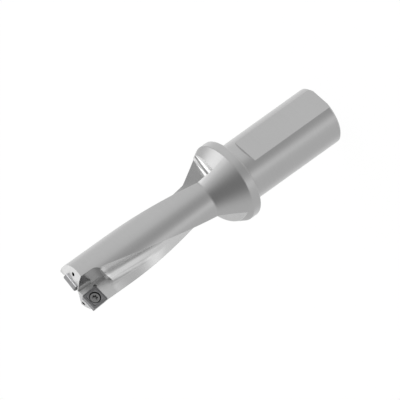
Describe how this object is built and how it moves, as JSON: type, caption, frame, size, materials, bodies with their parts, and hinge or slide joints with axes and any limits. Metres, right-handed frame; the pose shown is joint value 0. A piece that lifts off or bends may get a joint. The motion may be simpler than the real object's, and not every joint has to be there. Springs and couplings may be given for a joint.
{
  "type": "indexable drill",
  "caption": "Short-hole metal drill with helical flutes, screwed-on square inserts, a conical collar and a cylindrical shank with a clamping flat.",
  "frame": {"origin": "centre of the shank's end face", "axes": "+Z along the drill axis from the shank to the cutting tip, +X through the outer corner of the peripheral insert, whose rake face looks along +Y"},
  "size_m": [0.0442, 0.0442, 0.1673],
  "materials": {
    "tool_steel": "satin ground steel",
    "coated_carbide": "dark coated carbide",
    "black_oxide_steel": "dark oxide"
  },
  "bodies": {
    "root": {"drill_body": "tool_steel", "peripheral_insert": "coated_carbide", "central_insert": "coated_carbide", "peripheral_insert_screw": "black_oxide_steel", "central_insert_screw": "black_oxide_steel"}
  },
  "joints": []
}
